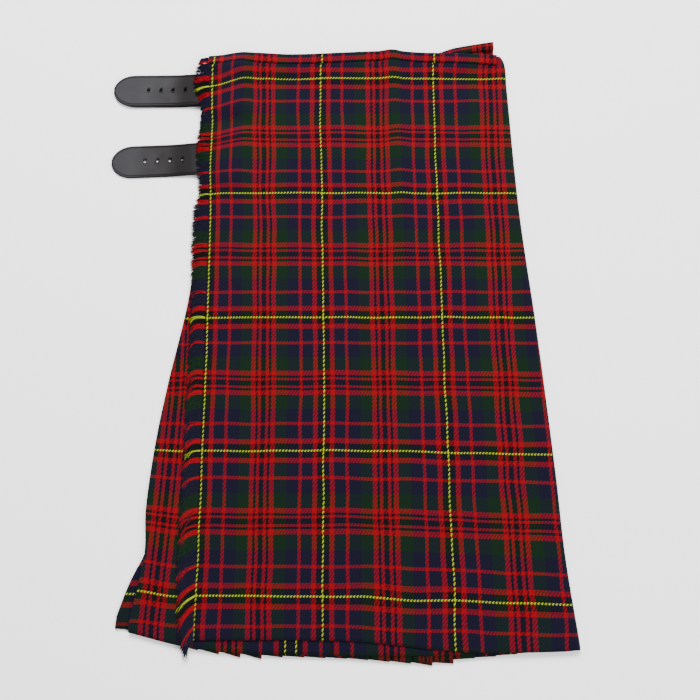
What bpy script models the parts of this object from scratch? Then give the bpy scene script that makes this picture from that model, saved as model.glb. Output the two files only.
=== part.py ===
"""A tartan kilt laid flat on its pleated back, with the over apron up and the waist towards +Y.

Sizes here are in millimetres and become metres as each mesh is made. X runs across the kilt,
Y from the hem to the waist and Z up from the surface that it lies on. The places are measured
from the middle of the laid kilt's picture, and the last step moves everything so that the
origin is the middle of the bottom of the whole.
"""

import math
from collections import namedtuple

import bmesh
import bpy
from mathutils import Vector

MM = 0.001

# Cloth, leather and the air between two layers
CLOTH = 1.0
GAP = 0.3
LAYER = CLOTH + GAP
LEATHER = 2.2
BACKING = 1.6

# Levels of the stack: the pleats fill levels 0 to 2 and the under apron is level 3
TOP_OF_PLEATS = 2
UNDER_LEVEL = 3

# Outlines, as a place along the kilt (y) and where the edge is there (x)
Edge = namedtuple("Edge", "y x")
FREE_EDGE = (
    Edge(y=322, x=-150),
    Edge(y=240, x=-147),
    Edge(y=40, x=-144),
    Edge(y=-275, x=-143),
)
RIGHT_FOLD = (
    Edge(y=323, x=160),
    Edge(y=312, x=165),
    Edge(y=288, x=166),
    Edge(y=150, x=173),
    Edge(y=20, x=185),
    Edge(y=-120, x=196),
    Edge(y=-200, x=201),
    Edge(y=-280, x=210),
)
LEFT_FOLD = (
    Edge(y=325, x=-149),
    Edge(y=160, x=-154),
    Edge(y=60, x=-161),
    Edge(y=-40, x=-179),
    Edge(y=-100, x=-188),
    Edge(y=-160, x=-193),
    Edge(y=-202, x=-192),
    Edge(y=-268, x=-203),
)
# The splayed fold of the back, as a distance to the right of the left fold
SPLAY = (
    Edge(y=325, x=38),
    Edge(y=0, x=30),
    Edge(y=-155, x=10),
    Edge(y=-202, x=0),
    Edge(y=-231, x=-8),
    Edge(y=-265, x=-13),
)

# Upper and lower outlines, as a place across the kilt (x) and the height of the edge there (y)
Line = namedtuple("Line", "x y")
APRON_TOP = (
    Line(x=-150, y=319),
    Line(x=-112, y=323),
    Line(x=-60, y=321),
    Line(x=42, y=325),
    Line(x=76, y=323),
    Line(x=115, y=322),
    Line(x=156, y=320),
)
APRON_HEM = (
    Line(x=-144, y=-275),
    Line(x=0, y=-276),
    Line(x=75, y=-283),
    Line(x=120, y=-286),
    Line(x=195, y=-285),
    Line(x=212, y=-283),
)
BACK_TOP = (
    Line(x=-150, y=317),
    Line(x=-60, y=320),
    Line(x=73, y=322),
    Line(x=95, y=326),
    Line(x=112, y=332),
    Line(x=156, y=340),
)
UNDER_HEM = (
    Line(x=-204, y=-268),
    Line(x=-150, y=-281),
    Line(x=-100, y=-286),
    Line(x=70, y=-289),
    Line(x=200, y=-283),
)
BACK_HEM = (
    Line(x=-216, y=-265),
    Line(x=-203, y=-266),
    Line(x=-150, y=-281),
    Line(x=-100, y=-287),
    Line(x=0, y=-291),
    Line(x=70, y=-295),
    Line(x=95, y=-292),
    Line(x=150, y=-287),
    Line(x=205, y=-282),
)
# How far each knife pleat hangs below its neighbour at its folded edge, at the hem
PLEAT_DROPS = (1.0, 2.0, 3.2, 3.4, 1.2, 0.6, 0.8, 0.5, 0.6, 0.8, 1.0, 2.4, 3.4, 0.6, 0.8, 0.5, 0.4, 0.3)

# Knife pleats of the back
PLEATS = len(PLEAT_DROPS)
PLEAT_MARGIN = 3.0
FOLD_NOSE = 0.6
RISER_START = 0.8
RISER_END = 2.4
SEAM_FROM_LEFT = 30.0
INNER_FOLD_FROM_LEFT = 45.0
LAST_STRIP = 6.0
SEAM_FROM_RIGHT = 12.0
SEAM_AT_WAIST = 6.0

# The over apron's fold at the right, and the apron under it
ROLL_WIDTH = 4.5
ROLL_STEPS = 5
UNDER_STOPS = 9.0

# Steps across the part of the back's waistband that lies on the pleats
BACK_BAND_STEPS = 30

# Soft ridges of the over apron: where each starts and ends, how high and how wide it is
Ridge = namedtuple("Ridge", "x_top y_top x_low y_low height half_width")
RIDGES = (
    Ridge(x_top=44, y_top=330, x_low=58, y_low=60, height=3.0, half_width=15),
    Ridge(x_top=-114, y_top=330, x_low=-110, y_low=190, height=1.0, half_width=12),
    Ridge(x_top=-60, y_top=60, x_low=-72, y_low=-290, height=1.2, half_width=26),
    Ridge(x_top=96, y_top=-20, x_low=112, y_low=-290, height=1.4, half_width=24),
)

# Straps: the middle of each at its tip, and how much it rises for each millimetre from there
Strap = namedtuple("Strap", "name tip_x tip_y rise width thickness below")
STRAPS = (
    Strap("strap_upper_backing", -248, 283, 0.0, width=36, thickness=BACKING, below=0.0),
    Strap("strap_upper", -250, 283, 0.01, width=36, thickness=LEATHER, below=BACKING + GAP),
    Strap("strap_lower", -248, 201, 0.04, width=36, thickness=LEATHER, below=0.0),
)
STRAP_HIDDEN_END = -120.0
# Room between a strap and the apron over it, and how far the apron takes to come down beside it
STRAP_ROOM = 5 * GAP
STRAP_RAMP = 24.0
STRAP_SHOULDER = 20.0
STRAP_DROOP = 38.0
STRAP_TIP = 22.0
STRAP_TIP_BLUNT = 0.3
STRAP_STEP = 5.0
HOLES = 4
FIRST_HOLE = 36.5
HOLE_PITCH = 13.0
HOLE_RADIUS = 1.6
HOLE_SIDES = 12

# Fringe of the free edge
LOCKS = 98
STRIP_WIDTH = 1.6
LOCK_ROOT = 3.2
LOCK_BEND = Vector((-10.0, -1.5, 0.0))
LOCK_TIP = Vector((-16.0, -9.0, 0.0))
LOCK_MIDDLE_WIDTH = 2.6
LOCK_TIP_WIDTH = 1.2
LOCK_TIP_HEIGHT = 0.7
LOCK_HANG = 1.6
LOCK_NEAR_STRAP = 6.0
FRINGE_LENGTH = (
    Edge(y=322, x=0.80),
    Edge(y=290, x=1.00),
    Edge(y=262, x=0.62),
    Edge(y=215, x=0.80),
    Edge(y=165, x=0.66),
    Edge(y=150, x=0.92),
    Edge(y=60, x=1.00),
    Edge(y=-60, x=1.10),
    Edge(y=-180, x=1.28),
    Edge(y=-275, x=1.00),
)

TARTAN_RED = (0.30, 0.035, 0.05)
TARTAN_NAVY = (0.03, 0.035, 0.09)
TARTAN_GREEN = (0.02, 0.07, 0.035)
DARK_LEATHER = (0.035, 0.028, 0.03)


# Curves through the tables


def smooth(t):
    """0 below 0, 1 above 1, and a soft step between."""
    t = min(max(t, 0.0), 1.0)
    return t * t * (3 - 2 * t)


def follow(rows, at):
    """The second column of a table at a place in its first, by a smooth curve through the rows."""
    rows = sorted((row[0], row[1]) for row in rows)
    if at <= rows[0][0]:
        return rows[0][1]
    if at >= rows[-1][0]:
        return rows[-1][1]
    slopes = []
    for i in range(len(rows)):
        before = rows[max(i - 1, 0)]
        after = rows[min(i + 1, len(rows) - 1)]
        slopes.append((after[1] - before[1]) / (after[0] - before[0]))
    i = max(k for k, row in enumerate(rows) if row[0] <= at)
    (a, low), (b, high) = rows[i], rows[i + 1]
    t = (at - a) / (b - a)
    reach = b - a
    return (
        low * (1 + 2 * t) * (1 - t) ** 2
        + high * t * t * (3 - 2 * t)
        + slopes[i] * reach * t * (1 - t) ** 2
        - slopes[i + 1] * reach * t * t * (1 - t)
    )


def between(a, b, t):
    return a + (b - a) * t


def spread(a, b, count):
    """count places from a to b, both included."""
    return [between(a, b, i / (count - 1)) for i in range(count)]


# Heights of the layers


def splay_x(y):
    return follow(LEFT_FOLD, y) + follow(SPLAY, y)


def band_lift(x, y, full, none):
    """1 where the back's waistband lies at a place, falling to 0 below it."""
    return smooth((none - (follow(BACK_TOP, x) - y)) / (none - full))


def sink(x, y):
    """How far the layers at the left settle where the splayed fold isn't under them."""
    return 2 * LAYER * smooth((splay_x(y) - 5 - x) / 12)


def pleat_z(level, x, y):
    lift = LAYER * band_lift(x, y, full=8, none=11.5)
    settled = sink(x, y) if level >= TOP_OF_PLEATS else 0.0
    return CLOTH / 2 + level * LAYER + lift - settled


def under_z(x, y):
    """The middle of the under apron, which lies on the pleats and on the back's waistband."""
    wide = smooth((x + 60) / 40)
    lift = 2 * LAYER * band_lift(x, y, full=11 + 4 * wide, none=15.5 + 7 * wide)
    return CLOTH / 2 + UNDER_LEVEL * LAYER + lift - sink(x, y)


def strap_y(strap, x):
    return strap.tip_y + strap.rise * (x - strap.tip_x)


def strap_z(strap, x):
    """The middle of a strap, which lies on the under apron and then droops to the table."""
    middle = strap_y(strap, x)
    fold = follow(LEFT_FOLD, middle)
    edges = (middle - strap.width / 2, middle + strap.width / 2)
    on_cloth = max(under_z(max(x, fold + 1), y) for y in edges) + CLOTH / 2 + 2 * GAP
    share = smooth((x - (fold - STRAP_DROOP)) / STRAP_DROOP)
    return on_cloth * share + strap.below + strap.thickness / 2


def strap_lift(x, y):
    """How far the over apron is raised by the straps below it."""
    lift = 0.0
    for strap in STRAPS:
        top = strap.below + strap.thickness + STRAP_ROOM
        across = smooth((STRAP_HIDDEN_END + 2 - x) / STRAP_RAMP + 1)
        beyond = abs(y - strap_y(strap, x)) - strap.width / 2 - 3
        lift = max(lift, top * across * smooth(1 - beyond / STRAP_SHOULDER))
    return lift


def ridge_height(x, y):
    height = 0.0
    for ridge in RIDGES:
        along = (ridge.y_top - y) / (ridge.y_top - ridge.y_low)
        if 0 < along < 1:
            middle = between(ridge.x_top, ridge.x_low, along)
            fade = smooth(along / 0.1) * smooth((1 - along) / 0.5)
            if ridge.y_top > follow(APRON_TOP, ridge.x_top):
                fade = smooth((1 - along) / 0.5)
            height += ridge.height * fade * smooth(1 - abs(x - middle) / ridge.half_width)
    return height


def over_z(x, y):
    """The middle of the over apron, which lies on the under apron, the straps and its own band."""
    wide = smooth((x + 60) / 40)
    back_band = 2 * LAYER * band_lift(x, y, full=14 + 8 * wide, none=26 + 8 * wide)
    front_band = LAYER * smooth((20 - (follow(APRON_TOP, x) - y)) / 7)
    settled = 0.65 * 2 * LAYER * smooth((splay_x(y) - 11 - x) / 14)
    base = CLOTH / 2 + (UNDER_LEVEL + 1) * LAYER
    return base + back_band + front_band - settled + strap_lift(x, y) + ridge_height(x, y)


# Solids


def cloth_material(name, colour, roughness=0.85):
    material = bpy.data.materials.new(name)
    material.use_nodes = True
    shader = material.node_tree.nodes["Principled BSDF"]
    shader.inputs["Base Color"].default_value = (*colour, 1.0)
    shader.inputs["Roughness"].default_value = roughness
    return material


def add_object(name, bm, material):
    bmesh.ops.recalc_face_normals(bm, faces=bm.faces)
    if bm.calc_volume(signed=True) < 0:
        bmesh.ops.reverse_faces(bm, faces=bm.faces)
    mesh = bpy.data.meshes.new(name)
    bm.to_mesh(mesh)
    bm.free()
    mesh.materials.append(material)
    piece = bpy.data.objects.new(name, mesh)
    bpy.context.scene.collection.objects.link(piece)
    return piece


def surface_offset(rows, j, k, thickness):
    """From the wall's middle to its upper face at one point, mitred where the wall turns."""
    row = rows[j]
    along = rows[min(j + 1, len(rows) - 1)][k] - rows[max(j - 1, 0)][k]
    ends = [(a, a + 1) for a in (k - 1, k) if 0 <= a and a + 1 < len(row)]
    normals = [(row[b] - row[a]).cross(along).normalized() for a, b in ends]
    first, last = normals[0], normals[-1]
    return (first + last) / (1 + first.dot(last)) * (thickness / 2)


def add_wall(name, rows, thickness, material):
    """A closed wall of even thickness whose middle surface runs through rows of points."""
    bm = bmesh.new()
    upper, lower = [], []
    for j, row in enumerate(rows):
        offsets = [surface_offset(rows, j, k, thickness) for k in range(len(row))]
        upper.append([bm.verts.new((p + o) * MM) for p, o in zip(row, offsets)])
        lower.append([bm.verts.new((p - o) * MM) for p, o in zip(row, offsets)])
    last_row, last_point = len(rows) - 1, len(rows[0]) - 1
    for j in range(last_row):
        for k in range(last_point):
            for side in (upper, lower):
                bm.faces.new((side[j][k], side[j][k + 1], side[j + 1][k + 1], side[j + 1][k]))
        for k in (0, last_point):
            bm.faces.new((upper[j][k], upper[j + 1][k], lower[j + 1][k], lower[j][k]))
    for j in (0, last_row):
        for k in range(last_point):
            bm.faces.new((upper[j][k], upper[j][k + 1], lower[j][k + 1], lower[j][k]))
    return add_object(name, bm, material)


def panel_y(top, hem, x, down):
    """The place along the kilt of a panel's point, a share of the way from its top to its hem."""
    return between(follow(top, x), follow(hem, x), down)


# Shares of the back's length, from its waist to its hem, where it has a row of points
BACK_DOWN = (0, 0.0135, 0.0195, 0.27, 0.5, 0.78, 0.865, 0.925, 1.0)


def side_y(top, hem, x_top, x_low, down):
    """The place along the kilt of a panel's side, which runs from x_top to x_low."""
    return between(follow(top, x_top), follow(hem, x_low), down)


def back_left_y(down):
    return side_y(BACK_TOP, BACK_HEM, -120, -172, down)


def back_right_y(down):
    return side_y(BACK_TOP, BACK_HEM, 154, 198, down)


def seam_x(fold, inward, side, y):
    """A seam inside a fold, straight between the back's rows so that both its sides agree."""
    places = [side(down) for down in BACK_DOWN]
    y = min(max(y, places[-1]), places[0])
    for above, below in zip(places, places[1:]):
        if below <= y <= above:
            high = follow(fold, above) + inward(above)
            low = follow(fold, below) + inward(below)
            return between(low, high, (y - below) / (above - below))


def left_seam(y):
    return seam_x(LEFT_FOLD, lambda _: SEAM_FROM_LEFT, back_left_y, y)


def right_seam(y):
    def inward(place):
        return -between(SEAM_FROM_RIGHT, SEAM_AT_WAIST, smooth((place - 290) / 28))

    return seam_x(RIGHT_FOLD, inward, back_right_y, y)


# Over apron

OVER_DOWN = (0, 0.018, 0.029, 0.045, 0.07, 0.10, 0.13, 0.165, 0.2, 0.23, 0.27)
OVER_DOWN += (0.33, 0.42, 0.52, 0.62, 0.72, 0.82, 0.91, 1.0)
OVER_ACROSS = (0, 0.035, 0.07, 0.105, 0.14, 0.18, 0.22, 0.27, 0.33, 0.4, 0.47, 0.53)
OVER_ACROSS += (0.57, 0.605, 0.635, 0.665, 0.7, 0.74, 0.8, 0.87, 0.93, 1.0)


def over_apron_xs(down):
    """Where the flat part of the over apron has its points across, at one share of its length."""
    y_left = side_y(APRON_TOP, APRON_HEM, -150, -144, down)
    y_right = side_y(APRON_TOP, APRON_HEM, 154, 205, down)
    left = follow(FREE_EDGE, y_left)
    right = follow(RIGHT_FOLD, y_right) - CLOTH / 2 - ROLL_WIDTH
    return [between(left, right, share) for share in OVER_ACROSS]


def over_apron_row(down):
    xs = over_apron_xs(down)
    row = []
    for x in xs:
        y = panel_y(APRON_TOP, APRON_HEM, x, down)
        row.append(Vector((x, y, over_z(x, y))))
    x, y = xs[-1], row[-1].y
    top, bottom = row[-1].z, pleat_z(0, x, y)
    for step in range(1, ROLL_STEPS + 1):
        turn = math.pi * step / (ROLL_STEPS + 1)
        z = between(bottom, top, 0.5 + 0.5 * math.cos(turn))
        row.append(Vector((x + ROLL_WIDTH * math.sin(turn), y, z)))
    for place in (x - 0.2, right_seam(y)):
        row.append(Vector((place, y, bottom)))
    return row


def over_apron(material):
    rows = [over_apron_row(down) for down in OVER_DOWN]
    return add_wall("over_apron", rows, CLOTH, material)


# Under apron

# Shares of the under apron's length that have a row of points, with those of the back among them
UNDER_DOWN = (0, 0.0127, 0.0192, 0.0265, 0.038, 0.15, 0.27, 0.385, 0.5, 0.6, 0.69, 0.78, 0.865, 0.925, 1.0)
LEFT_ZONE = 36.0


def left_zone_xs(fold):
    """Points across the left fold's zone, which the under apron and the back's band share."""
    return spread(fold + 1.2, fold + LEFT_ZONE, 9)


def right_zone_xs(fold, stop):
    return spread(fold + LEFT_ZONE, stop, 12)[1:]


def under_top_y(x):
    return follow(BACK_TOP, x) - 0.6 if x < 60 else min(follow(BACK_TOP, 60) - 0.6, follow(APRON_TOP, x) - 3)


def under_apron_row(down):
    y_left = between(under_top_y(-120), follow(UNDER_HEM, -172), down)
    y_right = between(under_top_y(150), follow(UNDER_HEM, 200), down)
    fold = follow(LEFT_FOLD, y_left)
    stop = follow(RIGHT_FOLD, y_right) - UNDER_STOPS
    left_xs = left_zone_xs(fold)

    def at(x):
        return between(under_top_y(x), follow(UNDER_HEM, x), down)

    row = []
    for x in reversed(left_xs + right_zone_xs(fold, stop)):
        row.append(Vector((x, at(x), under_z(x, at(x)))))
    lower = []
    for x in spread(fold + 1.2, left_seam(y_left), 8):
        lower.append(Vector((x, at(x), pleat_z(TOP_OF_PLEATS, x, at(x)))))
    nose = Vector((fold + CLOTH / 2, at(fold), (row[-1].z + lower[0].z) / 2))
    return row + [nose] + lower


def under_apron(material):
    rows = [under_apron_row(down) for down in UNDER_DOWN]
    return add_wall("under_apron", rows, CLOTH, material)


# Pleated back


def back_row(down):
    y_left = back_left_y(down)
    y_right = back_right_y(down)
    fold = follow(LEFT_FOLD, y_left)
    splay = splay_x(y_left)
    inner = fold + INNER_FOLD_FROM_LEFT
    right = follow(RIGHT_FOLD, y_right)
    zone = right - SEAM_FROM_RIGHT - LAST_STRIP - inner
    pitch = zone / PLEATS
    depth = pitch - PLEAT_MARGIN
    row = []

    def add(x, level, drop=0.0):
        y = panel_y(BACK_TOP, BACK_HEM, x, down) - drop * down
        row.append(Vector((x, y, pleat_z(level, x, y))))

    add(left_seam(y_left) + GAP, 2)
    add(fold + LEFT_ZONE, 2)
    add(inner - FOLD_NOSE, 2)
    add(inner, 1.5)
    add(inner - FOLD_NOSE, 1)
    add(between(inner, splay, 0.5), 1)
    add(splay + CLOTH / 2 + FOLD_NOSE, 1)
    add(splay + CLOTH / 2, 0.5)
    add(splay + CLOTH / 2 + FOLD_NOSE, 0)
    add(between(inner, splay, 0.5), 0)
    add(inner, 0)
    for index in range(PLEATS):
        edge = inner + pitch * (index + 1) - 1
        drop = PLEAT_DROPS[index]
        add(edge - FOLD_NOSE, 0, drop)
        add(edge, 0.5, drop)
        add(edge - FOLD_NOSE, 1, drop)
        add(edge - depth + FOLD_NOSE, 1)
        add(edge - depth, 1.5)
        add(edge - depth + FOLD_NOSE, 2)
        add(edge + RISER_START, 2)
        add(edge + RISER_END, 0)
    add(right_seam(y_right) - GAP, 0)
    return row


def pleated_back(material):
    rows = [back_row(down) for down in BACK_DOWN]
    return add_wall("pleated_back", rows, CLOTH, material)


# Waistbands


def band_section(top, leg_end, upper, lower):
    """The band's middle line round a top edge: up one leg, over the edge and down the other.

    top and leg_end are places (x, y), and upper and lower give each leg's height at a place.
    """
    middle = (upper(*top) + lower(*top)) / 2
    rise = (upper(*top) - lower(*top)) / 2
    section = [Vector((*leg_end, upper(*leg_end)))]
    for turn in spread(90, -90, 5):
        along = LAYER * math.cos(math.radians(turn))
        up = rise * math.sin(math.radians(turn))
        section.append(Vector((top[0], top[1] + along, middle + up)))
    section.append(Vector((*leg_end, lower(*leg_end))))
    return section


def waistband_front(material):
    def upper(x, y):
        return over_z(x, y) + LAYER

    def lower(x, y):
        return over_z(x, y) - LAYER

    rows = []
    for x, x_low in zip(over_apron_xs(0), over_apron_xs(OVER_DOWN[1])):
        top = (x, follow(APRON_TOP, x))
        leg_end = (x_low, panel_y(APRON_TOP, APRON_HEM, x_low, OVER_DOWN[1]))
        rows.append(band_section(top, leg_end, upper, lower))
    return add_wall("waistband_front", rows, CLOTH, material)


def waistband_back(material):
    def upper(x, y):
        return pleat_z(TOP_OF_PLEATS, x, y) + LAYER

    def lower(_x, _y):
        return CLOTH / 2

    fold = follow(LEFT_FOLD, follow(BACK_TOP, -150))
    stop = RIGHT_FOLD[0].x - SEAM_AT_WAIST - GAP
    rows = []
    for x in left_zone_xs(fold)[1:] + spread(fold + LEFT_ZONE, stop, BACK_BAND_STEPS)[1:]:
        top = (x, follow(BACK_TOP, x))
        leg_end = (x, panel_y(BACK_TOP, BACK_HEM, x, BACK_DOWN[1]))
        rows.append(band_section(top, leg_end, upper, lower))
    return add_wall("waistband_back", rows, CLOTH, material)


# Straps


def strap_half_width(strap, x):
    from_tip = x - strap.tip_x + STRAP_TIP_BLUNT
    share = min(from_tip / STRAP_TIP, 1.0)
    return strap.width / 2 * math.sqrt(1 - (1 - share) ** 2)


def strap_xs(strap):
    """Stations along a strap, closer together where its end is round."""
    tip = [strap.tip_x + STRAP_TIP * (i / 8) ** 2 for i in range(8)]
    straight = STRAP_HIDDEN_END - strap.tip_x - STRAP_TIP
    count = round(straight / STRAP_STEP) + 1
    return tip + spread(strap.tip_x + STRAP_TIP, STRAP_HIDDEN_END, count)


def strap_plate(strap, material):
    rows = []
    for x in strap_xs(strap):
        half = strap_half_width(strap, x)
        z = strap_z(strap, x)
        rows.append([Vector((x, strap_y(strap, x) + side * half, z)) for side in (-1, 1)])
    return add_wall(strap.name, rows, strap.thickness, material)


def punch_holes(piece, strap):
    for index in range(HOLES):
        x = STRAPS[1].tip_x + FIRST_HOLE + index * HOLE_PITCH
        y = strap_y(STRAPS[1] if "upper" in strap.name else strap, x)
        bm = bmesh.new()
        bmesh.ops.create_cone(
            bm,
            cap_ends=True,
            segments=HOLE_SIDES,
            radius1=HOLE_RADIUS * MM,
            radius2=HOLE_RADIUS * MM,
            depth=40 * MM,
        )
        punch = add_object(f"punch_{strap.name}_{index + 1}", bm, piece.data.materials[0])
        punch.location = Vector((x, y, 0)) * MM
        punch.hide_render = True
        punch.display_type = "WIRE"
        cut = piece.modifiers.new("hole", "BOOLEAN")
        cut.operation = "DIFFERENCE"
        cut.solver = "EXACT"
        cut.object = punch


def straps(material):
    for strap in STRAPS:
        piece = strap_plate(strap, material)
        punch_holes(piece, strap)


# Fringe


def lock_points(x, y, z, length):
    """A lock's middle line: out of the strip, over a bend and down towards the hem."""
    over_table = smooth((follow(LEFT_FOLD, y) - (x + LOCK_TIP.x)) / 10)
    reach = LOCK_NEAR_STRAP
    on_strap = max(smooth(2 - abs(y - reach - strap_y(s, x)) / (s.width / 2 + reach)) for s in STRAPS)
    hang = LOCK_HANG * over_table * (1 - on_strap)
    root = Vector((x, y, z))
    bend = root + LOCK_BEND * length - Vector((0, 0, hang * 0.4))
    tip = root + LOCK_TIP * length - Vector((0, 0, hang))
    return bend, tip


def lock_ring(bm, middle, width, height, lean):
    """Four corners round a lock's middle line, in the order of the strip's side face."""
    ring = []
    for along, up in ((1, 1), (-1, 1), (-1, -1), (1, -1)):
        offset = Vector((-lean * along, along * width / 2, up * height / 2))
        ring.append(bm.verts.new((middle + offset) * MM))
    return ring


def add_lock(bm, root_ring, x, y, z, length):
    bend, tip = lock_points(x, y, z, length)
    middle_ring = lock_ring(bm, bend, LOCK_MIDDLE_WIDTH, CLOTH * 0.9, lean=0.4)
    tip_ring = lock_ring(bm, tip, LOCK_TIP_WIDTH, LOCK_TIP_HEIGHT, lean=0.5)
    for near, far in ((root_ring, middle_ring), (middle_ring, tip_ring)):
        for i in range(4):
            follow_on = (i + 1) % 4
            bm.faces.new((near[i], near[follow_on], far[follow_on], far[i]))
    bm.faces.new(tip_ring)


def strip_section(bm, y):
    """The strip's four corners at one place: outer upper, outer lower, inner lower, inner upper."""
    edge = follow(FREE_EDGE, y) - GAP
    z = over_z(edge, y)
    corners = []
    for x, up in ((edge - STRIP_WIDTH, 1), (edge - STRIP_WIDTH, -1), (edge, -1), (edge, 1)):
        corners.append(bm.verts.new(Vector((x, y, z + up * CLOTH / 2)) * MM))
    return corners


def apron_fringe(material):
    bm = bmesh.new()
    top = follow(APRON_TOP, FREE_EDGE[0].x) - 1
    hem = follow(APRON_HEM, FREE_EDGE[-1].x) + 1
    pitch = (top - hem) / LOCKS
    sections, starts = [], []
    for index in range(LOCKS):
        y = top - pitch * index
        starts.append(len(sections))
        sections.append(strip_section(bm, y))
        sections.append(strip_section(bm, y - LOCK_ROOT))
    bm.faces.new(sections[0])
    bm.faces.new(sections[-1])
    for number in range(len(sections) - 1):
        here, there = sections[number], sections[number + 1]
        for i in (1, 2, 3):
            bm.faces.new((here[i], here[(i + 1) % 4], there[(i + 1) % 4], there[i]))
        if number not in starts:
            bm.faces.new((here[0], here[1], there[1], there[0]))
    for index, start in enumerate(starts):
        here, there = sections[start], sections[start + 1]
        y = top - pitch * index - LOCK_ROOT / 2
        x = follow(FREE_EDGE, y) - GAP - STRIP_WIDTH
        uneven = 1 + 0.06 * math.sin(index * 2.4) + 0.05 * math.sin(index * 0.9)
        length = follow(FRINGE_LENGTH, y) * uneven
        z = over_z(x, y)
        add_lock(bm, (here[0], there[0], there[1], here[1]), x, y, z, length)
    return add_object("apron_fringe", bm, material)


# The whole kilt


def remove_everything():
    for item in list(bpy.data.objects):
        bpy.data.objects.remove(item, do_unlink=True)


def stand_on_origin():
    """Puts all pieces under one empty, moved so that the origin is the middle of the bottom."""
    pieces = [item for item in bpy.context.scene.objects if item.type == "MESH"]
    corners = [vertex.co for item in pieces if not item.hide_render for vertex in item.data.vertices]
    low = [min(corner[axis] for corner in corners) for axis in range(3)]
    high = [max(corner[axis] for corner in corners) for axis in range(3)]
    kilt = bpy.data.objects.new("kilt", None)
    bpy.context.scene.collection.objects.link(kilt)
    kilt.location = (-(low[0] + high[0]) / 2, -(low[1] + high[1]) / 2, -low[2])
    for item in pieces:
        item.parent = kilt


def main():
    remove_everything()
    tartan = cloth_material("tartan", TARTAN_RED)
    back_tartan = cloth_material("back_tartan", TARTAN_NAVY)
    band_tartan = cloth_material("band_tartan", TARTAN_GREEN)
    leather = cloth_material("strap_leather", DARK_LEATHER, roughness=0.5)
    pleated_back(back_tartan)
    under_apron(back_tartan)
    over_apron(tartan)
    waistband_back(band_tartan)
    waistband_front(band_tartan)
    apron_fringe(tartan)
    straps(leather)
    stand_on_origin()


main()
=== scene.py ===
"""A tartan kilt laid flat: twill cloth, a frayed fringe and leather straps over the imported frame.

Shapes are worked out in millimetres, measured from the middle of the laid kilt's picture, as the
solids are. to_frame() turns them into metres in the frame as each mesh is made.
"""

import math
import random
from collections import namedtuple

import bmesh
import bpy
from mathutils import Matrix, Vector, noise


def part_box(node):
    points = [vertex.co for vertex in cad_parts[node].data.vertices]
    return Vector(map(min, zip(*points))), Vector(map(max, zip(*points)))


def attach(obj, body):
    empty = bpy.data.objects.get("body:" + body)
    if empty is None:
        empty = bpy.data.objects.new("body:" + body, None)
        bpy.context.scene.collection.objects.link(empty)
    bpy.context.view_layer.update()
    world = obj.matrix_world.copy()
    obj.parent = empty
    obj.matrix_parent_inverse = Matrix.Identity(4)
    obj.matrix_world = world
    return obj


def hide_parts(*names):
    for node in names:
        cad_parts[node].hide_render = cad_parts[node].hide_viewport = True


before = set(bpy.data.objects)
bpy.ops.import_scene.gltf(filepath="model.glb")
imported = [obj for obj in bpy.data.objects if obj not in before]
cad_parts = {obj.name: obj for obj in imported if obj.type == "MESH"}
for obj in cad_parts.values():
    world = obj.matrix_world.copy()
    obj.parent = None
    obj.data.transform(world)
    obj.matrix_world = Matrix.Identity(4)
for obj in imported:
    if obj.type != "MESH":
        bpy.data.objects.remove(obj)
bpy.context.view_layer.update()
MM = 0.001
random.seed(7)

# Cloth, leather and the air between two layers
CLOTH = 1.0
GAP = 0.3
LAYER = CLOTH + GAP
LEATHER = 2.2
BACKING = 1.6
TOP_OF_PLEATS = 2
UNDER_LEVEL = 3

# A stretch over which something grows from none to all of it. A negative reach points left or down
Zone = namedtuple("Zone", "start reach")

# Outlines, as a place along the kilt (y) and where the edge is there (x)
Edge = namedtuple("Edge", "y x")
FREE_EDGE = (
    Edge(322, -150),
    Edge(240, -147),
    Edge(40, -144),
    Edge(-275, -143),
)
RIGHT_FOLD = (
    Edge(323, 160),
    Edge(312, 165),
    Edge(288, 166),
    Edge(150, 173),
    Edge(20, 185),
    Edge(-120, 196),
    Edge(-200, 201),
    Edge(-280, 210),
)
LEFT_FOLD = (
    Edge(325, -149),
    Edge(160, -154),
    Edge(60, -161),
    Edge(-40, -179),
    Edge(-100, -188),
    Edge(-160, -193),
    Edge(-202, -192),
    Edge(-268, -203),
)
# The splayed fold of the back, as a distance to the right of the left fold
SPLAY = (
    Edge(325, 38),
    Edge(0, 30),
    Edge(-155, 10),
    Edge(-202, 0),
    Edge(-231, -8),
    Edge(-265, -13),
)

# Upper and lower outlines, as a place across the kilt (x) and the height of the edge there (y)
Line = namedtuple("Line", "x y")
APRON_TOP = (
    Line(-150, 319),
    Line(-112, 323),
    Line(-60, 321),
    Line(42, 325),
    Line(76, 323),
    Line(115, 322),
    Line(156, 320),
)
APRON_HEM = (
    Line(-144, -275),
    Line(0, -276),
    Line(75, -283),
    Line(120, -286),
    Line(195, -285),
    Line(212, -283),
)
BACK_TOP = (
    Line(-150, 317),
    Line(-60, 320),
    Line(73, 322),
    Line(95, 326),
    Line(112, 332),
    Line(156, 340),
)
UNDER_HEM = (
    Line(-204, -268),
    Line(-150, -281),
    Line(-100, -286),
    Line(70, -289),
    Line(200, -283),
)
BACK_HEM = (
    Line(-216, -265),
    Line(-203, -266),
    Line(-150, -281),
    Line(-100, -287),
    Line(0, -291),
    Line(70, -295),
    Line(95, -292),
    Line(150, -287),
    Line(205, -282),
)
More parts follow.
